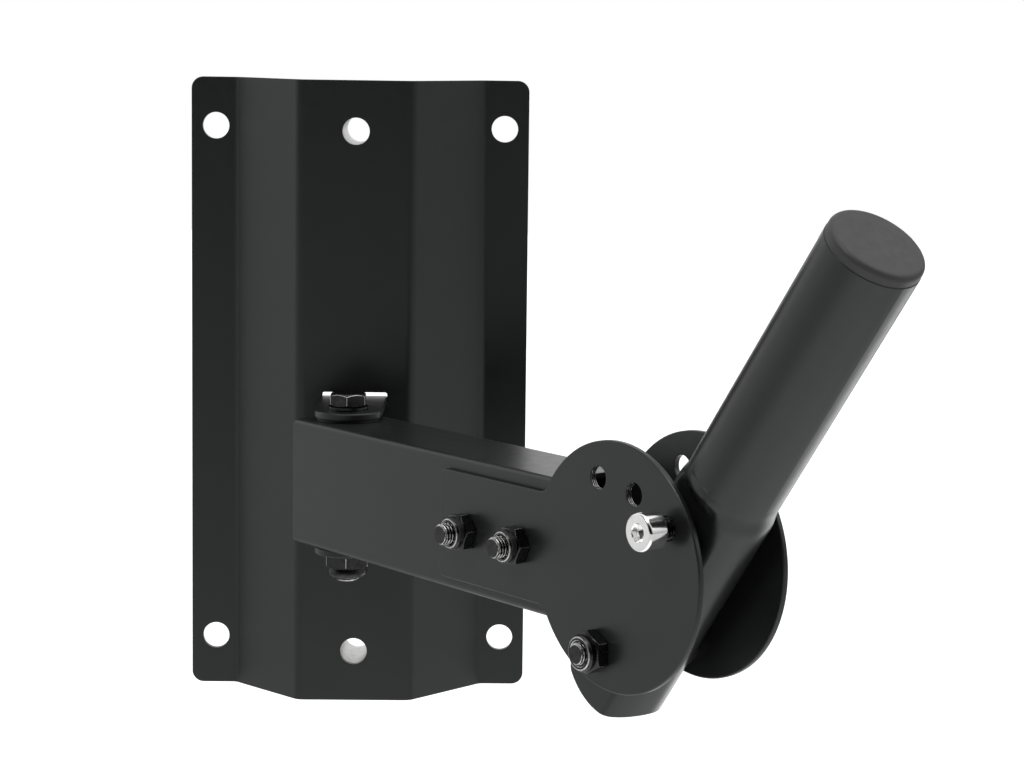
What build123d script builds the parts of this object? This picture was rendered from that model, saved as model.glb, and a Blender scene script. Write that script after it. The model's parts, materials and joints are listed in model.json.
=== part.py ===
"""Wall bracket for a loudspeaker with a 35 mm pole socket.

Millimetres, +Z up. The origin is the centre of the four wall holes, on the wall. The wall is the
plane Y = 0 and the room lies towards -Y. The arm is swung to the right and the pole leans outwards.
"""
from build123d import *
from math import atan2, cos, degrees, radians, sin, sqrt
import os

os.makedirs("parts", exist_ok=True)

# Clearances
running_gap = 0.1          # radial, between a pin and the piece that turns on it
side_gap = 0.15            # between flat faces that slide past each other
bolt_gap = 0.25            # radial, round a bolt that is clamped
thread_gap = 0.05          # radial, between a plain shank and the nut on it
slot_gap = 0.3             # each side of an ear in its slot
sheet_edge = 0.35          # broken edge round each side plate and ear

# Wall plate, one sheet folded to a hat section
plate_width = 146.0
plate_height = 267.0
plate_sheet = 2.5
plate_rise = 30.0          # from the wall to the back of the raised face
flange_width = 20.2
raised_width = 46.0
plate_bend = 3.5           # inside radius of the folds
plate_corner = 5.0
wall_inset_x = 10.5        # from the plate's sides to its corner holes
wall_inset_z = 21.0        # from the plate's ends to its corner holes
wall_hole = 11.5
raised_inset = 21.5        # from the plate's ends to the holes in the raised face
sleeve_wall = 2.75

# Swivel yoke, behind the raised face, with an ear above and an ear below the arm
yoke_sheet = 3.0
yoke_bend = 2.4
ear_width = 27.6
swivel_standoff = 72.0     # from the wall to the swivel axis
slot_headroom = 2.2        # slot above the upper ear and below the lower one
slot_corner = 1.0
friction_washer = 1.0
friction_washer_width = 26.0

# Arm, a rectangular tube, swung to the right of straight out
arm_width = 37.0
arm_height = 51.5
arm_wall = 2.0
arm_corner = 2.8
arm_drop = 30.5            # centre line of the arm below the centre of the wall plate
arm_tail = 12.8            # behind the swivel axis
arm_length = 158.0         # ahead of the swivel axis
arm_swing = 38.1

# Side plates, bolted to the arm
side_sheet = 2.3
side_start = 92.4          # from the swivel axis to the tail's end
side_tail_height = 41.5
side_corner = 3.0
side_fillet = 6.0
disc_diameter = 89.5
disc_centre = 195.8
tail_bolt_first = 111.0
tail_bolt_pitch = 32.0
pivot_forward = 186.5
pivot_drop = 31.4          # below the arm's centre line
tilt_hole = 8.7
tilt_radius = 62.0         # from the pivot to each tilt hole
tilt_step = 18.3
tilt_steps = 3
rest_step = 2              # the hole in use, counted from the upright one

# Tilt tube
tube_diameter = 35.0
tube_wall = 2.0
tube_above = 185.5         # pivot to the upper end
tube_end_radius = 26.0     # the lower end is cut round about the pivot
pressed_thickness = 27.0   # across the two pressed flats
pressed_width = 36.8       # the other way, where pressing spreads the tube
pressed_corner = 6.0       # radius beside the flats
press_end = 73.5           # from the pivot to the end of the flats
press_run = 6.0            # from there to the full round
press_settle = 2.0         # the shoulder eases into the flats and the round over two such steps
pivot_bush_diameter = 12.0
pivot_spacer_width = 22.0

# End cap
cap_width = 34.6
cap_head = 4.5
cap_edge = 2.2
cap_plug = 14.0
cap_wall = 2.0
cap_fin = 0.35             # how far each fin stands out
cap_fin_height = 1.0
cap_fin_places = (5.0, 11.0)

# Fasteners
swivel_thread = 10.0
swivel_head_width = 15.0
swivel_head_height = 5.4
swivel_nut_width = 17.0
swivel_nut_height = 10.0
swivel_tip = 1.5           # of the bolt past its nut
swivel_washer = 1.6
swivel_washer_width = 16.5
small_thread = 8.0
small_head_width = 13.0
small_head_height = 5.3
small_nut_width = 13.0
small_nut_height = 8.0
tail_tip = 5.5
pivot_tip = 1.3
lock_head_width = 13.0
lock_head_height = 8.0
lock_key = 6.0
lock_key_depth = 4.0
lock_length = 10.0
lock_proud = 5.2           # under its head, above the side plate
lock_nut_height = 6.5

# Heights and stations that follow from the sizes above
wall_pitch_x = plate_width - 2 * wall_inset_x
wall_pitch_z = plate_height - 2 * wall_inset_z
raised_pitch = plate_height - 2 * raised_inset
arm_top = -arm_drop + arm_height / 2
arm_bottom = -arm_drop - arm_height / 2
yoke_top_inside = arm_top + friction_washer
yoke_bottom_inside = arm_bottom - friction_washer
raised_back = -plate_rise
raised_front = raised_back - plate_sheet
side_outer = arm_width / 2 + side_sheet
pivot_height = -arm_drop - pivot_drop
tube_angle = 90.0 - rest_step * tilt_step
round_start = press_end + press_run + 2 * press_settle
sleeve_bore = wall_hole
small_hole = small_thread + 2 * bolt_gap

# Frames: the arm's X runs along it and its Y points to its far side; the tube's Z runs up it
arm_frame = Plane(
    origin=(0, -swivel_standoff, 0),
    x_dir=(sin(radians(arm_swing)), -cos(radians(arm_swing)), 0),
    z_dir=(0, 0, 1),
).location
tube_frame = arm_frame * Plane(
    origin=(pivot_forward, 0, pivot_height),
    x_dir=(sin(radians(tube_angle)), 0, -cos(radians(tube_angle))),
    z_dir=(cos(radians(tube_angle)), 0, sin(radians(tube_angle))),
).location


def save(name, shape):
    """Write one piece to its own file."""
    export_step(shape, f"parts/{name}.step")


def facing(origin, direction, turn=0.0):
    """Place a piece modelled along +Z at a point, pointing another way."""
    return Plane(origin=origin, z_dir=direction).location * Rot(0, 0, turn)


def tube(outer, inner, length):
    """A plain tube standing on the XY plane."""
    return extrude(Circle(outer / 2) - Circle(inner / 2), length)


def hex_prism(width, height, crown):
    """A hexagon prism with its upper corners turned off, as on a bolt head or a nut."""
    prism = extrude(RegularPolygon(width / 2, 6, major_radius=False), height)
    reach = width / sqrt(3)
    blank = Cylinder(reach, height, align=(Align.CENTER, Align.CENTER, Align.MIN))
    return prism & chamfer(blank.faces().sort_by(Axis.Z)[-1].edges(), crown, 2 * crown)


def hex_bolt(thread, length, head_width, head_height):
    """A bolt whose head sits below the XY plane and whose shank rises from it."""
    head = mirror(hex_prism(head_width, head_height, 0.5), about=Plane.XY)
    shank = Cylinder(thread / 2, length, align=(Align.CENTER, Align.CENTER, Align.MIN))
    shank = chamfer(shank.faces().sort_by(Axis.Z)[-1].edges(), thread / 10)
    return head + shank


def nut_sizes(thread, width, height):
    """Height of the hexagon, and the collar's outer radius, bore and floor."""
    return 0.68 * height, 0.475 * width, 0.6 * thread, 0.7 * height


def lock_nut(thread, width, height):
    """A nut with a domed collar that is turned in over a nylon ring."""
    hex_height, collar, ring, ring_floor = nut_sizes(thread, width, height)
    body = hex_prism(width, hex_height, 0.5)
    dome = Pos(0, 0, hex_height / 2) * Cylinder(
        collar, height - hex_height / 2, align=(Align.CENTER, Align.CENTER, Align.MIN)
    )
    dome = chamfer(dome.faces().sort_by(Axis.Z)[-1].edges(), 0.16 * height)
    body += dome
    bore = Cylinder(thread / 2 + thread_gap, height, align=(Align.CENTER, Align.CENTER, Align.MIN))
    seat = Pos(0, 0, ring_floor) * Cylinder(ring, height, align=(Align.CENTER, Align.CENTER, Align.MIN))
    return body - bore - seat


def nut_ring(thread, width, height):
    """The nylon ring of a lock nut."""
    _, _, ring, ring_floor = nut_sizes(thread, width, height)
    ring_height = 0.93 * height - ring_floor
    return Pos(0, 0, ring_floor) * tube(2 * ring, thread + 2 * thread_gap, ring_height)


# Wall plate
def make_wall_plate():
    fold = FilletPolyline(
        (-plate_width / 2, 0),
        (-plate_width / 2 + flange_width, 0),
        (-raised_width / 2, raised_back),
        (raised_width / 2, raised_back),
        (plate_width / 2 - flange_width, 0),
        (plate_width / 2, 0),
        radius=(plate_bend + plate_sheet, plate_bend, plate_bend, plate_bend + plate_sheet),
    )
    section = make_face(offset(fold, plate_sheet, side=Side.RIGHT))
    sheet = Pos(0, 0, -plate_height / 2) * extrude(section, plate_height)
    ends = sheet.edges().filter_by(Axis.Y).filter_by(lambda e: abs(e.center().X) > plate_width / 2 - 1)
    sheet = fillet(ends, plate_corner)
    drill = Plane.XZ * Cylinder(wall_hole / 2, 6 * plate_sheet)
    for place in GridLocations(wall_pitch_x, wall_pitch_z, 2, 2):
        sheet -= Pos(place.position.X, 0, place.position.Y) * drill
    for height in (-raised_pitch / 2, raised_pitch / 2):
        sheet -= Pos(0, raised_back, height) * drill
    slot_height = yoke_sheet + slot_headroom + yoke_bend + slot_gap / 4
    slot_width = ear_width + 2 * slot_gap
    slot = extrude(Plane.XZ * RectangleRounded(slot_width, slot_height, slot_corner), 3 * plate_sheet, both=True)
    upper = yoke_top_inside + yoke_sheet + slot_headroom - slot_height / 2
    lower = yoke_bottom_inside - yoke_sheet - slot_headroom + slot_height / 2
    for height in (lower, upper):
        sheet -= Pos(0, raised_back, height) * slot
    return sheet


wall_plate = make_wall_plate()
save("wall_plate", wall_plate)

# Sleeves that carry the two middle wall screws from the raised face to the wall
for name, height in (("upper_wall_sleeve", raised_pitch / 2), ("lower_wall_sleeve", -raised_pitch / 2)):
    sleeve = tube(sleeve_bore + 2 * sleeve_wall, sleeve_bore, plate_rise)
    save(name, facing((0, 0, height), (0, -1, 0)) * sleeve)


# Swivel yoke
def make_yoke():
    reach = -swivel_standoff - ear_width / 2
    fold = FilletPolyline(
        (reach, yoke_top_inside),
        (raised_back, yoke_top_inside),
        (raised_back, yoke_bottom_inside),
        (reach, yoke_bottom_inside),
        radius=yoke_bend,
    )
    section = Plane.YZ * make_face(offset(fold, yoke_sheet, side=Side.LEFT))
    strap = extrude(section, ear_width / 2, both=True)
    plan = Pos(0, reach / 2) * Rectangle(ear_width, -reach)
    ends = plan.vertices().sort_by(Axis.Y)[:2]
    plan = fillet(ends, 0.499 * ear_width)
    strap &= extrude(plan, plate_height / 2, both=True)
    rims = strap.edges().filter_by(Plane.XY).filter_by(lambda e: e.center().Y < raised_front)
    strap = chamfer(rims, sheet_edge)
    bore = Pos(0, -swivel_standoff, 0) * Cylinder(swivel_thread / 2 + bolt_gap, plate_height)
    return strap - bore


save("swivel_yoke", make_yoke())

# Swivel bolt, its washer and lock nut, and the friction washers
swivel_grip = yoke_top_inside - yoke_bottom_inside + 2 * yoke_sheet + swivel_washer
swivel_length = swivel_grip + swivel_nut_height + swivel_tip
swivel_seat = yoke_top_inside + yoke_sheet
swivel_bolt = hex_bolt(swivel_thread, swivel_length, swivel_head_width, swivel_head_height)
save("swivel_bolt", facing((0, -swivel_standoff, swivel_seat + swivel_washer), (0, 0, -1), 30) * swivel_bolt)
washer = tube(swivel_washer_width, swivel_thread + 2 * bolt_gap, swivel_washer)
save("swivel_washer", Pos(0, -swivel_standoff, swivel_seat) * washer)
swivel_nut_place = facing((0, -swivel_standoff, yoke_bottom_inside - yoke_sheet), (0, 0, -1), 30)
nut_args = (swivel_thread, swivel_nut_width, swivel_nut_height)
save("swivel_nut", swivel_nut_place * lock_nut(*nut_args))
save("swivel_nut_ring", swivel_nut_place * nut_ring(*nut_args))
pad = tube(friction_washer_width, swivel_thread + 2 * bolt_gap, friction_washer - side_gap)
save("upper_friction_washer", Pos(0, -swivel_standoff, arm_top + side_gap) * pad)
save("lower_friction_washer", Pos(0, -swivel_standoff, yoke_bottom_inside) * pad)


# Arm tube, and the sleeve that keeps its walls apart round the swivel bolt
def make_arm_tube():
    outer = RectangleRounded(arm_width, arm_height, arm_corner)
    inner = RectangleRounded(arm_width - 2 * arm_wall, arm_height - 2 * arm_wall, arm_corner - arm_wall)
    box = extrude(Plane.YZ * (outer - inner), arm_tail + arm_length)
    box = Pos(-arm_tail, 0, -arm_drop) * box
    box -= Cylinder(swivel_thread / 2 + 3 * running_gap, plate_height)
    drill = Plane.XZ * Cylinder(small_hole / 2, 2 * arm_width)
    for place in (tail_bolt_first, tail_bolt_first + tail_bolt_pitch):
        box -= Pos(place, 0, -arm_drop) * drill
    return box


save("arm_tube", arm_frame * make_arm_tube())
sleeve_length = arm_height - 2 * arm_wall
swivel_sleeve = tube(swivel_thread + 2 * running_gap + 5.0, swivel_thread + 2 * running_gap, sleeve_length)
save("swivel_sleeve", arm_frame * Pos(0, 0, arm_bottom + arm_wall) * swivel_sleeve)


# Side plates: a square tail that runs into a full disc with the pivot hole and the tilt holes
def make_side_plate():
    tail_length = disc_centre - side_start
    tail = Pos(side_start + tail_length / 2, 0) * Rectangle(tail_length, side_tail_height)
    disc = Pos(disc_centre, 0) * Circle(disc_diameter / 2)
    outline = tail + disc
    corners = outline.vertices().sort_by(Axis.X)
    outline = fillet(corners[:2], side_corner)
    necks = outline.vertices().filter_by(lambda v: v.X > side_start + 2 * side_corner)
    outline = fillet(necks.sort_by(Axis.X)[:2], side_fillet)
    plate = extrude(Plane.XZ * outline, side_sheet)
    plate = chamfer(plate.faces().filter_by(Axis.Y).edges(), sheet_edge)
    holes = Sketch()
    for place in (tail_bolt_first, tail_bolt_first + tail_bolt_pitch):
        holes += Pos(place, 0) * Circle(small_hole / 2)
    holes += Pos(pivot_forward, -pivot_drop) * Circle(small_hole / 2)
    for step in range(tilt_steps):
        angle = radians(90.0 - step * tilt_step)
        x = pivot_forward + tilt_radius * cos(angle)
        y = -pivot_drop + tilt_radius * sin(angle)
        holes += Pos(x, y) * Circle(tilt_hole / 2)
    return plate - extrude(Plane.XZ * holes, side_sheet)


side_plate = make_side_plate()
save("near_side_plate", arm_frame * Pos(0, -arm_width / 2, -arm_drop) * side_plate)
save("far_side_plate", arm_frame * Pos(0, side_outer, -arm_drop) * side_plate)

# Bolts and lock nuts of the side plates, heads on the far side
small_nut_args = (small_thread, small_nut_width, small_nut_height)
tail_places = (("rear_tail", tail_bolt_first), ("front_tail", tail_bolt_first + tail_bolt_pitch))
tail_length = 2 * side_outer + small_nut_height + tail_tip
for name, place in tail_places:
    bolt = hex_bolt(small_thread, tail_length, small_head_width, small_head_height)
    head_place = facing((place, side_outer, -arm_drop), (0, -1, 0))
    nut_place = facing((place, -side_outer, -arm_drop), (0, -1, 0), 30)
    save(f"{name}_bolt", arm_frame * head_place * bolt)
    save(f"{name}_nut", arm_frame * nut_place * lock_nut(*small_nut_args))
    save(f"{name}_nut_ring", arm_frame * nut_place * nut_ring(*small_nut_args))

# Pivot bolt through a bush between the side plates, with a spacer on each side of the tube
pivot_length = 2 * side_outer + small_nut_height + pivot_tip
pivot_bolt = hex_bolt(small_thread, pivot_length, small_head_width, small_head_height)
pivot_nut_place = facing((pivot_forward, -side_outer, pivot_height), (0, -1, 0))
save("pivot_bolt", arm_frame * facing((pivot_forward, side_outer, pivot_height), (0, -1, 0)) * pivot_bolt)
save("pivot_nut", arm_frame * pivot_nut_place * lock_nut(*small_nut_args))
save("pivot_nut_ring", arm_frame * pivot_nut_place * nut_ring(*small_nut_args))
bush = tube(pivot_bush_diameter, small_hole, arm_width)
save("pivot_bush", arm_frame * facing((pivot_forward, arm_width / 2, pivot_height), (0, -1, 0)) * bush)
spacer_thickness = (arm_width - pressed_thickness) / 2 - side_gap
spacer = tube(pivot_spacer_width, pivot_bush_diameter + 2 * thread_gap, spacer_thickness)
for name, edge in (("near_pivot_spacer", -arm_width / 2 + spacer_thickness), ("far_pivot_spacer", arm_width / 2)):
    save(name, arm_frame * facing((pivot_forward, edge, pivot_height), (0, -1, 0)) * spacer)


# Tilt tube: round above, pressed to two flats where it passes between the side plates
def pressed_section(inset):
    """A wider round cut to two flats, with its corners rounded."""
    face = Circle(pressed_width / 2 - inset) & Rectangle(pressed_width, pressed_thickness - 2 * inset)
    return fillet(face.vertices(), pressed_corner - inset)


def round_section(inset):
    """The round tube in arcs that meet the edges of the pressed section."""
    joins = sorted(degrees(atan2(v.Y, v.X)) % 360 for v in pressed_section(inset).vertices())
    spans = [(start, (end - start) % 360) for start, end in zip(joins, joins[1:] + joins[:1])]
    radius = tube_diameter / 2 - inset
    return make_face(Curve() + [CenterArc((0, 0), radius, start, size) for start, size in spans])


def tube_form(inset):
    """The tube's outer form, or its bore when inset by the wall."""
    pressed, full = pressed_section(inset), round_section(inset)
    lower = Pos(0, 0, -tube_diameter) * extrude(pressed, tube_diameter + press_end - 2 * press_settle)
    steps = [Pos(0, 0, press_end - i * press_settle) * pressed for i in (2, 1, 0)]
    steps += [Pos(0, 0, press_end + press_run + i * press_settle) * full for i in (0, 1, 2)]
    upper = Cylinder(
        tube_diameter / 2 - inset, tube_above - round_start, align=(Align.CENTER, Align.CENTER, Align.MIN)
    )
    return lower + loft(steps) + Pos(0, 0, round_start) * upper


def make_tilt_tube():
    shell = tube_form(0) - tube_form(tube_wall)
    side_view = Circle(tube_end_radius) + Pos(0, tube_above / 2) * Rectangle(2 * tube_end_radius, tube_above)
    shell &= extrude(Plane.XZ * side_view, tube_diameter, both=True)
    shell -= Plane.XZ * Cylinder(pivot_bush_diameter / 2 + running_gap, 2 * arm_width)
    shell -= Pos(0, -arm_width / 2, tilt_radius) * (Plane.XZ * Cylinder(tilt_hole / 2, arm_width))
    return shell


save("tilt_tube", tube_frame * make_tilt_tube())
flat_inside = pressed_thickness / 2 - tube_wall
welded_nut = extrude(
    RegularPolygon(small_nut_width / 2, 6, major_radius=False) - Circle(small_thread / 2 + thread_gap),
    lock_nut_height,
)
save("lock_thread_nut", tube_frame * facing((0, -flat_inside, tilt_radius), (0, 1, 0)) * welded_nut)


# End cap: a domed head on a hollow plug with two gripping fins
def make_end_cap():
    bore = tube_diameter / 2 - tube_wall
    head = Cylinder(cap_width / 2, cap_head, align=(Align.CENTER, Align.CENTER, Align.MIN))
    head = fillet(head.faces().sort_by(Axis.Z)[-1].edges(), cap_edge)
    plug_radius = bore - cap_fin
    plug = tube(2 * plug_radius, 2 * (plug_radius - cap_wall), cap_plug)
    cap = Pos(0, 0, tube_above) * head + Pos(0, 0, tube_above - cap_plug) * plug
    fin = tube(2 * bore, 2 * plug_radius - cap_wall, cap_fin_height)
    for place in cap_fin_places:
        cap += Pos(0, 0, tube_above - place) * fin
    return cap


save("tube_end_cap", tube_frame * make_end_cap())

# Lock screw, a socket head screw standing a little proud of the near side plate
head = Cylinder(lock_head_width / 2, lock_head_height, align=(Align.CENTER, Align.CENTER, Align.MIN))
head = chamfer(head.faces().sort_by(Axis.Z)[-1].edges(), 0.6)
key = extrude(RegularPolygon(lock_key / 2, 6, major_radius=False), -lock_key_depth)
head -= Pos(0, 0, lock_head_height) * key
shank = Cylinder(small_thread / 2, lock_length, align=(Align.CENTER, Align.CENTER, Align.MAX))
shank = chamfer(shank.faces().sort_by(Axis.Z)[0].edges(), small_thread / 10)
lock_seat = side_outer + lock_proud
save("lock_screw", tube_frame * facing((0, -lock_seat, tilt_radius), (0, -1, 0)) * (head + shank))
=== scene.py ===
"""Looks of the wall bracket for a loudspeaker, in metres and in the frame of the solids."""
import json
import math
from collections import namedtuple

import bpy
from mathutils import Euler, Matrix, Vector


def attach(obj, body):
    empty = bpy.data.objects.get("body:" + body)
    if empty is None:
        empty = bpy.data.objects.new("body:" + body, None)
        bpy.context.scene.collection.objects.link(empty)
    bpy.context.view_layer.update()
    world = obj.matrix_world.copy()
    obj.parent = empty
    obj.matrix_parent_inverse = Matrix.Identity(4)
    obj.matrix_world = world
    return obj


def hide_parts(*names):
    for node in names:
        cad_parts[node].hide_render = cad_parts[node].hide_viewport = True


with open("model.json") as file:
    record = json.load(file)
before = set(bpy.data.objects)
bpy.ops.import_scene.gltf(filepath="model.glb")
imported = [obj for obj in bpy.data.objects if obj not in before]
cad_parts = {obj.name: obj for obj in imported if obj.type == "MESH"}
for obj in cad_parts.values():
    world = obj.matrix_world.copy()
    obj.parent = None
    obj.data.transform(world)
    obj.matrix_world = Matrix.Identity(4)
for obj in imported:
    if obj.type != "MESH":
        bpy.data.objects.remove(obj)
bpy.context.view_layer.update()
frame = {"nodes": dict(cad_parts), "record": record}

scene = bpy.context.scene

# Materials
NOISE_START, NOISE_END = 0.3, 0.7       # most of a noise lies between them
POWDER_EDGE = 0.0006                    # radius that the powder gives to an edge
POWDER_TINT = (0.96, 1.0, 0.985, 1.0)   # of what the powder mirrors


class Nodes:
    """Short calls for the nodes of one material."""

    def __init__(self, name):
        self.material = bpy.data.materials.new(name)
        self.material.use_nodes = True
        self.tree = self.material.node_tree
        self.shader = self.tree.nodes["Principled BSDF"]
        self.place = self.add("ShaderNodeTexCoord").outputs["Object"]

    def add(self, kind, **settings):
        node = self.tree.nodes.new(kind)
        for key, value in settings.items():
            setattr(node, key, value)
        return node

    def link(self, source, target):
        self.tree.links.new(source, target)

    def noise(self, scale, detail=2.0, roughness=0.5, stretch=None):
        """Noise whose cells are about 1/scale metres wide."""
        node = self.add("ShaderNodeTexNoise")
        node.inputs["Scale"].default_value = scale
        node.inputs["Detail"].default_value = detail
        node.inputs["Roughness"].default_value = roughness
        place = self.place
        if stretch:
            mapping = self.add("ShaderNodeMapping")
            mapping.inputs["Scale"].default_value = stretch
            self.link(place, mapping.inputs["Vector"])
            place = mapping.outputs["Vector"]
        self.link(place, node.inputs["Vector"])
        return node.outputs["Fac"]

    def ramp(self, source, low, high):
        """Spread a noise over the values from low to high."""
        node = self.add("ShaderNodeMapRange")
        node.inputs["From Min"].default_value = NOISE_START
        node.inputs["From Max"].default_value = NOISE_END
        node.inputs["To Min"].default_value = low
        node.inputs["To Max"].default_value = high
        self.link(source, node.inputs["Value"])
        return node.outputs["Result"]

    def blend_colour(self, source, low, high):
        """Spread a noise over two colours, into the base colour."""
        node = self.add("ShaderNodeValToRGB")
        first, second = node.color_ramp.elements
        first.position, first.color = NOISE_START, (*low, 1)
        second.position, second.color = NOISE_END, (*high, 1)
        self.link(source, node.inputs["Fac"])
        self.link(node.outputs["Color"], self.shader.inputs["Base Color"])

    def bump(self, source, distance, strength, under=None):
        """Raise a noise by a distance in metres, on top of another normal."""
        node = self.add("ShaderNodeBump")
        node.inputs["Strength"].default_value = strength
        node.inputs["Distance"].default_value = distance
        self.link(source, node.inputs["Height"])
        if under:
            self.link(under, node.inputs["Normal"])
        return node.outputs["Normal"]

    def finish(self, roughness, normal, **fixed):
        self.link(roughness, self.shader.inputs["Roughness"])
        self.link(normal, self.shader.inputs["Normal"])
        for key, value in fixed.items():
            self.shader.inputs[key.replace("_", " ")].default_value = value
        return self.material


def powder_coat():
    """Satin black powder with a fine grain, thick enough to round the edges."""
    m = Nodes("powder_coat")
    m.blend_colour(m.noise(60, detail=3), (0.0108, 0.0111, 0.0113), (0.0128, 0.0131, 0.0133))
    edge = m.add("ShaderNodeBevel", samples=4)
    edge.inputs["Radius"].default_value = POWDER_EDGE
    coarse = m.bump(m.noise(420), distance=0.00003, strength=0.3, under=edge.outputs["Normal"])
    fine_noise = m.noise(1900, roughness=0.6)
    fine = m.bump(fine_noise, distance=0.00002, strength=0.3, under=coarse)
    gloss = m.ramp(m.noise(240, detail=3), 0.29, 0.34)
    return m.finish(gloss, fine, Specular_Tint=POWDER_TINT)


def black_fastener():
    """Black plating, which mirrors its surroundings darkly."""
    m = Nodes("black_fastener")
    m.blend_colour(m.noise(500, detail=3), (0.035, 0.035, 0.037), (0.055, 0.055, 0.058))
    normal = m.bump(m.noise(700), distance=0.00001, strength=0.2)
    return m.finish(m.ramp(m.noise(900, detail=3), 0.22, 0.30), normal, Metallic=1.0)


def wear_and_painted_highlight():
    """Plating rubbed bright along the edges of screws and nuts, its brightness partly a painted
    highlight.
    """
    m = Nodes("wear_and_painted_highlight")
    m.blend_colour(m.noise(900, detail=3), (0.34, 0.34, 0.34), (0.72, 0.72, 0.70))
    normal = m.bump(m.noise(1500), distance=0.00001, strength=0.3)
    return m.finish(m.ramp(m.noise(900, detail=3), 0.24, 0.34), normal, Metallic=1.0)


def bare_steel():
    """Dull zinc plating with faint level marks."""
    m = Nodes("bare_steel")
    m.blend_colour(m.noise(300, detail=3), (0.52, 0.52, 0.51), (0.66, 0.66, 0.65))
    normal = m.bump(m.noise(900, stretch=(1, 1, 6)), distance=0.00003, strength=0.4)
    return m.finish(m.ramp(m.noise(500, detail=3), 0.3, 0.42), normal, Metallic=1.0)


def bright_zinc():
    """Bright zinc plating of the lock screw."""
    m = Nodes("bright_zinc")
    m.blend_colour(m.noise(350, detail=3), (0.88, 0.88, 0.88), (0.94, 0.94, 0.93))
    normal = m.bump(m.noise(700), distance=0.00001, strength=0.2)
    return m.finish(m.ramp(m.noise(500, detail=3), 0.10, 0.16), normal, Metallic=1.0)


def nylon():
    """Black nylon of washers, spacers and lock rings."""
    m = Nodes("nylon")
    m.blend_colour(m.noise(400, detail=3), (0.012, 0.012, 0.013), (0.020, 0.020, 0.021))
    normal = m.bump(m.noise(1500), distance=0.00002, strength=0.4)
    return m.finish(m.ramp(m.noise(600), 0.38, 0.50), normal)


def cap_plastic():
    """Dark grey moulded plastic with a fine matt texture."""
    m = Nodes("cap_plastic")
    m.blend_colour(m.noise(120, detail=3), (0.037, 0.037, 0.039), (0.045, 0.045, 0.047))
    normal = m.bump(m.noise(2600, roughness=0.6), distance=0.00003, strength=0.7)
    return m.finish(m.ramp(m.noise(300, detail=3), 0.46, 0.56), normal)


makers = {
    "powder_coat": powder_coat,
    "black_fastener": black_fastener,
    "wear_and_painted_highlight": wear_and_painted_highlight,
    "bare_steel": bare_steel,
    "bright_zinc": bright_zinc,
    "nylon": nylon,
    "cap_plastic": cap_plastic,
}
materials = {slot: make() for slot, make in makers.items()}
record = frame["record"]
slot_of = {part["node"]: part["material_slot"] for part in record["subparts"]}
body_of = {node: body for body, nodes in record["behaviour"]["bodies"].items() for node in nodes}


def dress(obj, slot):
    obj.data.materials.clear()
    obj.data.materials.append(materials[slot])


for node, obj in frame["nodes"].items():
    dress(obj, slot_of[node])


# Places on the bracket, in millimetres along the arm, to its far side and up
MM = 0.001
SWIVEL_STANDOFF = 72.0
ARM_SWING = math.radians(38.1)
ALONG = Vector((math.sin(ARM_SWING), -math.cos(ARM_SWING), 0))
FAR = Vector((math.cos(ARM_SWING), math.sin(ARM_SWING), 0))
NEAR = -FAR
UP = Vector((0, 0, 1))
RIGHT = Vector((1, 0, 0))
SIDE_OUTER = 20.8       # outer face of a side plate, from the arm's middle
SIDE_SHEET = 2.3
PIVOT_FORWARD, PIVOT_HEIGHT = 186.5, -61.9
TILT_HOLE_RADIUS = 62.0 # from the pivot to the holes' middles


def arm_point(forward, far, height):
    """A point along the arm from the swivel, to its far side and above the wall holes' middle."""
    return ALONG * forward + FAR * far + Vector((0, -SWIVEL_STANDOFF, height))


def tilt_hole_point(angle_deg, far):
    """A point on the axis of the tilt hole at an angle above the arm."""
    angle = math.radians(angle_deg)
    reach = (ALONG * math.cos(angle) + UP * math.sin(angle)) * TILT_HOLE_RADIUS
    return arm_point(PIVOT_FORWARD, far, PIVOT_HEIGHT) + reach


def place_at(point, axis, across, spin=0.0):
    """Stand a piece on a point in millimetres, its Z along axis and its X along across."""
    side = axis.cross(across).normalized()
    turn = Matrix((across, side, axis)).transposed().to_4x4()
    return Matrix.Translation(point * MM) @ turn @ Matrix.Rotation(math.radians(spin), 4, "Z")


# Hexagons, in millimetres and degrees
CORNER = 0.3            # radius of the upright edges
EDGE_BREAK = 0.12       # along the crown
CROWN_SLOPE = math.tan(math.radians(30))
CROWN_FLAT = 0.475      # radius of the flat end, of the width
SECTOR = 10             # angles in one sixth of a turn
CORNER_FACES = 4        # of the faces in one sixth of a turn, those at its corner
SLACK = 0.001           # what rounding of numbers may add to an angle


def flat_edge(width):
    """Angle from the middle of a hexagon's flat to where its corner starts to round."""
    return math.degrees(math.atan(math.tan(math.radians(30)) * (1 - 2 * CORNER / width)))


def turn_angles(width):
    """Angles round a hexagon, close together at its corners."""
    edge = flat_edge(width)
    rounding = (edge + 30) / 2
    sector = (-edge, -20, -10, 0, 10, 20, edge, rounding, 30, 60 - rounding)
    return [60 * side + step for side in range(6) for step in sector]


def hexagon(width):
    """Radius of a hexagon with rounded corners, as a function of the angle."""
    edge = flat_edge(width)
    core = (width / 2 - CORNER) / math.cos(math.radians(30))

    def radius(angle):
        off_flat = abs((angle + 30) % 60 - 30)
        if off_flat <= edge + SLACK:
            return width / 2 / math.cos(math.radians(off_flat))
        off_corner = math.radians(30 - off_flat)
        inner = core * math.cos(off_corner)
        return inner + math.sqrt(CORNER ** 2 - (core * math.sin(off_corner)) ** 2)

    return radius


# Rings of points round a Z axis, in millimetres. A height or radius is a number or a function of
# the angle. The third field says where the band above the ring takes the piece's second material:
# all round, at the corners of a hexagon, or where it lies beyond or within the radius "limit". On
# black screws, nuts and hole threads that is plating rubbed bright, its brightness partly a
# painted highlight;
# on the lock screw it is the shank painted black, a painted shade
Ring = namedtuple("Ring", "height radius worn limit", defaults=("", None))
ROUND_STEPS = 5


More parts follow.
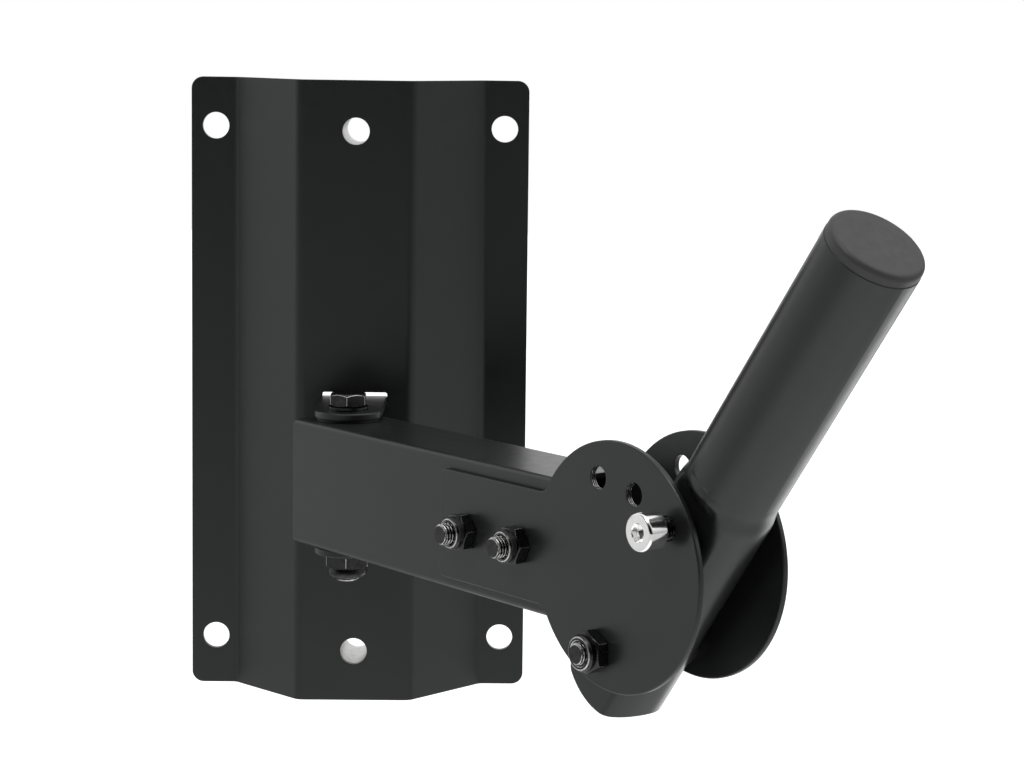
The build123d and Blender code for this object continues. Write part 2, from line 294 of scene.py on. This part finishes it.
def crowned(width, height, crown_edge):
    """Rings of a hexagon whose ends are turned off at 30 degrees, from the lower end up."""
    hexagonal = hexagon(width)
    circle = CROWN_FLAT * width

    def drop(angle):
        return max(0.0, hexagonal(angle) - circle) * CROWN_SLOPE

    def broken(angle):
        return hexagonal(angle) - EDGE_BREAK

    # The lower broken edge, the upright corners and, where crown_edge asks, the crown's edge take
    # the second material: rubbed plating and painted highlight
    return [
        Ring(0.0, circle),
        Ring(drop, broken, "all round"),
        Ring(lambda angle: drop(angle) + EDGE_BREAK, hexagonal, "corners"),
        Ring(lambda angle: height - drop(angle) - EDGE_BREAK, hexagonal, crown_edge),
        Ring(lambda angle: height - drop(angle), broken),
        Ring(height, circle),
    ]


def rounded(radius, height, edge):
    """Rings that round an outer upper edge, from the side to the top."""
    rings = []
    for step in range(ROUND_STEPS + 1):
        turn = math.radians(90 * step / ROUND_STEPS)
        side, rise = edge * math.cos(turn), edge * math.sin(turn)
        rings.append(Ring(height - edge + rise, radius - edge + side))
    return rings


# Threads, in millimetres
Thread = namedtuple("Thread", "diameter pitch depth")
M8 = Thread(8.0, 1.25, 0.75)
M10 = Thread(10.0, 1.5, 0.9)
TILT_HOLE_THREAD = Thread(8.58, 0.8, 0.16)
RINGS_PER_TURN = 10
FLANK_START, FLANK_SPAN = 0.36, 0.5     # shares of half a turn, from the middle of the crest
CREST = 0.92            # the crest lies beyond this share of the radius
INNER_EDGE = 0.985      # the bore is this share of the radius within which its thread is rubbed bright, partly a painted highlight


def thread_rings(thread, start, end, tip):
    """Rings of a helical thread that is chamfered over the length tip at its end."""
    outer = thread.diameter / 2
    count = round((end - start) / thread.pitch * RINGS_PER_TURN)

    def radius_at(height):
        def radius(angle):
            turn = (height / thread.pitch - angle / 360) % 1
            flank = min(1.0, max(0.0, (abs(2 * turn - 1) - FLANK_START) / FLANK_SPAN))
            return min(outer - thread.depth * flank, outer - tip + (end - height))
        return radius

    rings = []
    for step in range(count + 1):
        height = start + (end - start) * step / count
        # Crests and the chamfered tip take the second material: on black pieces rubbed plating
        # and painted highlight
        worn = "beyond" if height < end - tip else "all round"
        rings.append(Ring(height, radius_at(height), worn, CREST * outer))
    return rings


# Turned pieces
SHARP_ANGLE = math.radians(32)
# Slots of black pieces: black plating, and plating rubbed bright on their edges, partly a painted
# highlight
BLACK = ("black_fastener", "wear_and_painted_highlight")
# Slots of the lock screw: bright zinc, and black on its shank as painted shade between head and
# plate
ZINC_HEAD_SHADE_PAINTED_SHANK = ("bright_zinc", "black_fastener")


def ring_points(rings, angles, place):
    """Points of the rings where they stand, in metres, and their radii in millimetres."""
    points, radii = [], []
    for ring in rings:
        for angle in angles:
            r = ring.radius(angle) if callable(ring.radius) else ring.radius
            z = ring.height(angle) if callable(ring.height) else ring.height
            a = math.radians(angle)
            radii.append(r)
            points.append(place @ (Vector((r * math.cos(a), r * math.sin(a), z)) * MM))
    return points, radii


def takes_second_finish(ring, index, radii):
    """Whether one face of the band above a ring takes the second material: rubbed plating with a
    painted highlight on black pieces, painted shade on the lock screw's shank.
    """
    if ring.worn == "corners":
        return index % SECTOR >= SECTOR - CORNER_FACES
    if ring.worn == "beyond":
        return min(radii) > ring.limit
    if ring.worn == "within":
        return max(radii) < ring.limit
    return ring.worn == "all round"


def ring_faces(rings, count, radii, closed):
    """Faces between the rings and whether each takes the second material, with two ends unless
    closed.
    """
    faces, worn = [], []
    last = len(rings) - 1
    for step in range(last + 1 if closed else last):
        low, high = step * count, (step + 1) % len(rings) * count
        for i in range(count):
            after = (i + 1) % count
            face = (low + i, low + after, high + after, high + i)
            faces.append(face)
            worn.append(takes_second_finish(rings[step], i, [radii[k] for k in face]))
    if not closed:
        faces.append(tuple(reversed(range(count))))
        faces.append(tuple(range(last * count, (last + 1) * count)))
        worn += [False, False]
    return faces, worn


def ring_mesh(name, width, rings, place, slots, closed):
    """A mesh in its first slot, and in its second one where it is marked: rubbed plating with a
    painted highlight on black pieces, painted shade on the lock screw's shank.
    """
    angles = turn_angles(width)
    points, radii = ring_points(rings, angles, place)
    faces, worn = ring_faces(rings, len(angles), radii, closed)
    mesh = bpy.data.meshes.new(name)
    mesh.from_pydata(points, [], faces)
    mesh.update()
    mesh.shade_smooth()
    mesh.set_sharp_from_angle(angle=SHARP_ANGLE)
    for slot in slots:
        mesh.materials.append(materials[slot])
    mesh.polygons.foreach_set("material_index", [int(w) for w in worn])
    return mesh


def turned(name, node, width, rings, place, slots, closed=False, replaced=True):
    """Make a piece from rings, in place of a solid or on it."""
    mesh = ring_mesh(name, width, rings, place, slots, closed)
    piece = bpy.data.objects.new(name, mesh)
    scene.collection.objects.link(piece)
    weigh = piece.modifiers.new("weigh", "WEIGHTED_NORMAL")
    weigh.keep_sharp = True
    if replaced:
        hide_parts(node)
    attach(piece, body_of[node])


# Screws and nuts, in millimetres
Size = namedtuple("Size", "width height")
M8_HEAD, M10_HEAD = Size(13.0, 5.3), Size(14.2, 5.4)
M8_NUT, WIDE_M8_NUT, M10_NUT = Size(13.0, 8.0), Size(14.0, 8.0), Size(17.0, 10.0)
STEP = 0.05             # smallest step in a nut's outline
DOME_HIGHLIGHT_RING = 3           # which ring of a dome is rubbed bright, partly a painted highlight
RUN_OUT = 0.1           # from the plain shank to the thread


def lock_nut(node, thread, size, place):
    """A nut with a domed collar turned in over its nylon ring."""
    height, hex_top, dome_edge = size.height, 0.62 * size.height, 0.2 * size.height
    collar, groove = 0.485 * size.width, 0.5
    neck, dome_foot, dome_side = collar - groove, collar - 0.3, collar - 0.1
    ring_hole, ring_floor, ring_top = 0.6 * thread.diameter, 0.7 * height, 0.93 * height
    lip, lip_foot, lip_edge = ring_hole - 0.25, 0.94 * height, 0.3
    bore = thread.diameter / 2 + STEP

    rings = crowned(size.width, hex_top, "")
    rings += [Ring(hex_top + STEP, neck), Ring(hex_top + groove, dome_foot)]
    # One ring of the dome and the edge of the lip are rubbed bright, partly a painted highlight
    dome = rounded(dome_side, height, dome_edge)
    dome[DOME_HIGHLIGHT_RING] = dome[DOME_HIGHLIGHT_RING]._replace(worn="all round")
    rings += dome
    rings += [Ring(height - STEP, lip + lip_edge, "all round")]
    rings += [Ring(height - lip_edge, lip), Ring(lip_foot, lip)]
    rings += [Ring(ring_top, ring_hole), Ring(ring_floor, ring_hole)]
    rings += [Ring(ring_floor, bore), Ring(0.0, bore)]
    turned(node + "_detail", node, size.width, rings, place, BLACK, closed=True)


def hex_screw(node, thread, head, length, threaded, place):
    """A hexagon screw whose head sits below its place and whose shank stands on it."""
    shank = thread.diameter / 2
    dish, dish_depth, chamfer = 0.3 * head.width, 0.15, 0.07 * thread.diameter
    end = head.height + length
    thread_start = end - threaded

    # The head's edges and the thread's crests are rubbed bright, partly a painted highlight
    rings = [Ring(dish_depth, dish)] + crowned(head.width, head.height, "all round")
    rings += [Ring(head.height, shank), Ring(thread_start, shank)]
    rings += thread_rings(thread, thread_start + RUN_OUT, end, chamfer)
    seat = place @ Matrix.Translation((0, 0, -head.height * MM))
    turned(node + "_detail", node, head.width, rings, seat, BLACK)


def socket_screw(node, thread, head, key, length, place):
    """A round headed screw with a hexagon socket, its shank below its place and painted black as
    shade.
    """
    neck, chamfer = 0.6, 0.12 * thread.diameter
    radius, top, head_edge = head.width / 2, head.height, 1.1
    foot = [Ring(0.0, radius - 0.5), Ring(0.15, radius - 0.12), Ring(0.5, radius)]
    mouth, mouth_depth = 0.57 * key.width, 0.35
    key_floor, point, point_depth = top - key.height, 0.1 * key.width, 0.3

    thread_part = thread_rings(thread, neck, length, chamfer)
    # The whole shank takes the second slot, black, as painted shade
    rings = [Ring(-ring.height, ring.radius, "all round") for ring in reversed(thread_part)]
    rings += [Ring(0.0, thread.diameter / 2)] + foot + rounded(radius, top, head_edge)
    socket = hexagon(key.width)
    rings += [Ring(top, mouth), Ring(top - mouth_depth, socket), Ring(key_floor, socket)]
    rings += [Ring(key_floor - point_depth, point)]
    turned(node + "_detail", node, key.width, rings, place, ZINC_HEAD_SHADE_PAINTED_SHANK)


# Bolts across the side plates: their place, how far they are turned, how far the tip stands past
# the near plate, the length of their thread and their nut
CrossBolt = namedtuple("CrossBolt", "forward height spin past threaded nut")
CROSS_BOLTS = {
    "rear_tail": CrossBolt(108.7, -31.6, 8, 11.8, 7.0, M8_NUT),
    "front_tail": CrossBolt(141.0, -31.3, 3, 11.8, 7.0, M8_NUT),
    "pivot": CrossBolt(PIVOT_FORWARD, PIVOT_HEIGHT, 30, 9.3, 6.0, WIDE_M8_NUT),
}
for name, bolt in CROSS_BOLTS.items():
    seat = place_at(arm_point(bolt.forward, SIDE_OUTER, bolt.height), NEAR, UP, bolt.spin)
    length = 2 * SIDE_OUTER + bolt.past
    hex_screw(name + "_bolt", M8, M8_HEAD, length, bolt.threaded, seat)
    seat = place_at(arm_point(bolt.forward, -SIDE_OUTER, bolt.height), NEAR, UP, bolt.spin)
    lock_nut(name + "_nut", M8, bolt.nut, seat)

# Bolt through the two ears
SWIVEL_SEAT, SWIVEL_NUT_SEAT = 0.85, -60.25
SWIVEL_LENGTH, SWIVEL_THREADED = 72.6, 6.0
seat = place_at(arm_point(0, 0, SWIVEL_SEAT), -UP, RIGHT)
hex_screw("swivel_bolt", M10, M10_HEAD, SWIVEL_LENGTH, SWIVEL_THREADED, seat)
lock_nut("swivel_nut", M10, M10_NUT, place_at(arm_point(0, 0, SWIVEL_NUT_SEAT), -UP, RIGHT))

# Lock screw in the tilt hole that the pole leans at
LEAN_DEG = 53.4
LOCK_PROUD = 5.2        # gap between the near plate and the head
LOCK_HEAD, LOCK_KEY = Size(13.6, 8.0), Size(5.8, 3.0)
LOCK_LENGTH, LOCK_SPIN = 10.0, 4
seat = place_at(tilt_hole_point(LEAN_DEG, -SIDE_OUTER - LOCK_PROUD), NEAR, UP, LOCK_SPIN)
socket_screw("lock_screw", M8, LOCK_HEAD, LOCK_KEY, LOCK_LENGTH, seat)

# Threads cut in the two free tilt holes of the near plate
FREE_HOLES_DEG = {"upright": 90.0, "middle": 71.7}
HOLE_SKIN = 0.03        # thickness of the sleeve outside its thread
HOLE_INSET = 0.05       # of the sleeve's ends, from the faces of the plate
HOLE_CHAMFER = 0.1


def hole_thread(name, angle_deg):
    """The threaded wall of a tilt hole, as a thin sleeve inside it."""
    outer = TILT_HOLE_THREAD.diameter / 2
    skin = outer + HOLE_SKIN
    start, end = HOLE_INSET, SIDE_SHEET - HOLE_INSET
    limit = (outer - TILT_HOLE_THREAD.depth) / INNER_EDGE
    thread = thread_rings(TILT_HOLE_THREAD, start, end, HOLE_CHAMFER)
    # The thread's inner crests are rubbed bright, partly a painted highlight
    wall = [ring._replace(worn="within", limit=limit) for ring in reversed(thread)]
    rings = [Ring(start, skin), Ring(end, skin)] + wall
    seat = place_at(tilt_hole_point(angle_deg, -SIDE_OUTER + SIDE_SHEET), NEAR, UP)
    turned(name + "_hole_thread", "near_side_plate", 2 * skin, rings, seat, BLACK,
           closed=True, replaced=False)


for name, angle_deg in FREE_HOLES_DEG.items():
    hole_thread(name, angle_deg)


# Wall plate whose slots lie close to the ears, in millimetres
SLOT_TOP, SLOT_FOOT = 1.45, -62.45
SLOT_HALF_WIDTH = 14.1
SLOT_SIDE_GAP = 0.28
SLOT_DROP = 0.65        # how far a slot's top and foot come nearer the ears
SLOT_REACH = 1.05       # of a slot's end, from its top or foot
RAISED_FACE_START = -20
NEARBY = 0.05


def close_slots(node):
    """Copy the plate with a lower headroom and no side gap at its two slots."""
    mesh = frame["nodes"][node].data.copy()
    for vertex in mesh.vertices:
        x, y, z = (value / MM for value in vertex.co)
        if abs(x) > SLOT_HALF_WIDTH + NEARBY or y > RAISED_FACE_START:
            continue
        if SLOT_FOOT - NEARBY < z < SLOT_TOP + NEARBY:
            vertex.co.x -= math.copysign(SLOT_SIDE_GAP * MM, x)
            if z > SLOT_TOP - SLOT_REACH:
                vertex.co.z -= SLOT_DROP * MM
            elif z < SLOT_FOOT + SLOT_REACH:
                vertex.co.z += SLOT_DROP * MM
    piece = bpy.data.objects.new(node + "_detail", mesh)
    scene.collection.objects.link(piece)
    piece.matrix_world = frame["nodes"][node].matrix_world
    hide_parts(node)
    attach(piece, body_of[node])


close_slots("wall_plate")


# Floor
FLOOR_HEIGHT = -0.42
FLOOR_SIZE = 12.0
FLOOR_CAMERA_GLOW = 0.65
# Bright patches of floor that smooth parts mirror: middle, full radius, end radius, strength
FLOOR_PATCHES = {
    "right_behind": ((0.69, 0.55, 0.0), 0.34, 0.64, 1.25),
    "far_left": ((-2.6, 0.7, 0.0), 0.90, 1.60, 0.10),
    "front": ((0.05, -0.45, 0.0), 0.25, 0.65, 0.60),
}


def node_math(tree, operation, first, second):
    """One math node on two values, each a number or another node's output."""
    node = tree.nodes.new("ShaderNodeMath")
    node.operation = operation
    for socket, value in zip(node.inputs, (first, second)):
        if isinstance(value, (int, float)):
            socket.default_value = value
        else:
            tree.links.new(value, socket)
    return node.outputs["Value"]


def smooth_step(tree, value, start, end, low=0.0, high=1.0):
    """Ease from low to high while a value goes from start to end."""
    node = tree.nodes.new("ShaderNodeMapRange")
    node.interpolation_type = "SMOOTHSTEP"
    node.inputs["From Min"].default_value = start
    node.inputs["From Max"].default_value = end
    node.inputs["To Min"].default_value = low
    node.inputs["To Max"].default_value = high
    tree.links.new(value, node.inputs["Value"])
    return node.outputs["Result"]


def floor_patches(tree, total):
    """Brightness of the floor's patches, for the rays that total lets through."""
    place = tree.nodes.new("ShaderNodeTexCoord").outputs["Object"]
    patches = 0.0
    for middle, radius, end, strength in FLOOR_PATCHES.values():
        reach = tree.nodes.new("ShaderNodeVectorMath")
        reach.operation = "DISTANCE"
        reach.inputs[1].default_value = middle
        tree.links.new(place, reach.inputs[0])
        patch = smooth_step(tree, reach.outputs["Value"], radius, end, low=strength, high=0.0)
        patches = node_math(tree, "ADD", patch, patches)
    return node_math(tree, "MULTIPLY", patches, total)


def floor_material():
    """Matt white that the camera sees as pure white, with patches only for reflections."""
    material = bpy.data.materials.new("floor")
    material.use_nodes = True
    tree = material.node_tree
    shader = tree.nodes["Principled BSDF"]
    shader.inputs["Base Color"].default_value = (0.60, 0.60, 0.60, 1)
    shader.inputs["Roughness"].default_value = 0.9
    shader.inputs["Specular IOR Level"].default_value = 0.1
    path = tree.nodes.new("ShaderNodeLightPath")
    mirrored = floor_patches(tree, path.outputs["Is Glossy Ray"])
    seen = node_math(tree, "MULTIPLY", path.outputs["Is Camera Ray"], FLOOR_CAMERA_GLOW)
    glow = tree.nodes.new("ShaderNodeEmission")
    glow.inputs["Color"].default_value = (1, 1, 1, 1)
    tree.links.new(node_math(tree, "ADD", seen, mirrored), glow.inputs["Strength"])
    add = tree.nodes.new("ShaderNodeAddShader")
    tree.links.new(shader.outputs["BSDF"], add.inputs[0])
    tree.links.new(glow.outputs["Emission"], add.inputs[1])
    tree.links.new(add.outputs["Shader"], tree.nodes["Material Output"].inputs["Surface"])
    return material


def make_floor():
    bpy.ops.mesh.primitive_plane_add(size=FLOOR_SIZE, location=(0, 0, FLOOR_HEIGHT))
    floor = bpy.context.object
    floor.name = "floor"
    floor.data.materials.append(floor_material())


make_floor()

# Soft studio lights, each a direction, how narrow it is and its strength
GLOWS = {
    "left": ((-1.0, 0.0, 0.12), 14, 0.88),
    "left_behind": ((-0.70, 0.70, 0.09), 6, 0.64),
    "left_behind_high": ((-0.55, 0.55, 0.62), 12, 0.8),
    "right": ((1.0, -0.05, 0.12), 16, 0.22),
    "right_high": ((0.70, 0.0, 0.70), 6, 1.70),
    "overhead": ((0.0, 0.0, 1.0), 6, 1.60),
    "key": ((-0.44, -0.46, 0.78), 80, 10.0),
}
# How far a direction points to the wall where the white backdrop starts and where it is full
BACKDROP_START, BACKDROP_FULL = 0.55, 0.80


def studio_glows(tree, direction):
    """Brightness of all the lights in a direction."""
    total = 0.0
    for toward, narrow, strength in GLOWS.values():
        facing = tree.nodes.new("ShaderNodeVectorMath")
        facing.operation = "DOT_PRODUCT"
        facing.inputs[1].default_value = Vector(toward).normalized()
        tree.links.new(direction, facing.inputs[0])
        glow = node_math(tree, "MAXIMUM", facing.outputs["Value"], 0.0)
        glow = node_math(tree, "POWER", glow, narrow)
        glow = node_math(tree, "MULTIPLY", glow, strength)
        total = node_math(tree, "ADD", glow, total)
    return total


def make_world():
    """Lights and a backdrop that surfaces mirror, in front of a plain white for the camera."""
    world = bpy.data.worlds.new("studio")
    scene.world = world
    world.use_nodes = True
    tree = world.node_tree
    tree.nodes.clear()
    direction = tree.nodes.new("ShaderNodeTexCoord").outputs["Generated"]
    split = tree.nodes.new("ShaderNodeSeparateXYZ")
    tree.links.new(direction, split.inputs["Vector"])
    backdrop = smooth_step(tree, split.outputs["Y"], BACKDROP_START, BACKDROP_FULL)
    surroundings = node_math(tree, "MAXIMUM", studio_glows(tree, direction), backdrop)
    path = tree.nodes.new("ShaderNodeLightPath")
    strength = tree.nodes.new("ShaderNodeMix")
    strength.data_type = "FLOAT"
    tree.links.new(path.outputs["Is Camera Ray"], strength.inputs["Factor"])
    tree.links.new(surroundings, strength.inputs["A"])
    strength.inputs["B"].default_value = 1.0
    background = tree.nodes.new("ShaderNodeBackground")
    background.inputs["Color"].default_value = (1, 1, 1, 1)
    tree.links.new(strength.outputs["Result"], background.inputs["Strength"])
    output = tree.nodes.new("ShaderNodeOutputWorld")
    tree.links.new(background.outputs["Background"], output.inputs["Surface"])


make_world()

# Camera
CAMERA_PLACE = (0.0726, -1.1269, 0.1582)
CAMERA_TURN_DEG = (83.924, -0.867, -1.557)
CAMERA_LENS_MM = 90.826
CAMERA_SHIFT = (-0.086, -0.087)
CAMERA_CLIP_START = 0.05


def make_camera():
    data = bpy.data.cameras.new("camera")
    data.lens = CAMERA_LENS_MM
    data.shift_x, data.shift_y = CAMERA_SHIFT
    data.clip_start = CAMERA_CLIP_START
    camera = bpy.data.objects.new("camera", data)
    scene.collection.objects.link(camera)
    camera.location = CAMERA_PLACE
    camera.rotation_euler = Euler([math.radians(a) for a in CAMERA_TURN_DEG])
    scene.camera = camera


make_camera()
scene.view_settings.view_transform = "Standard"
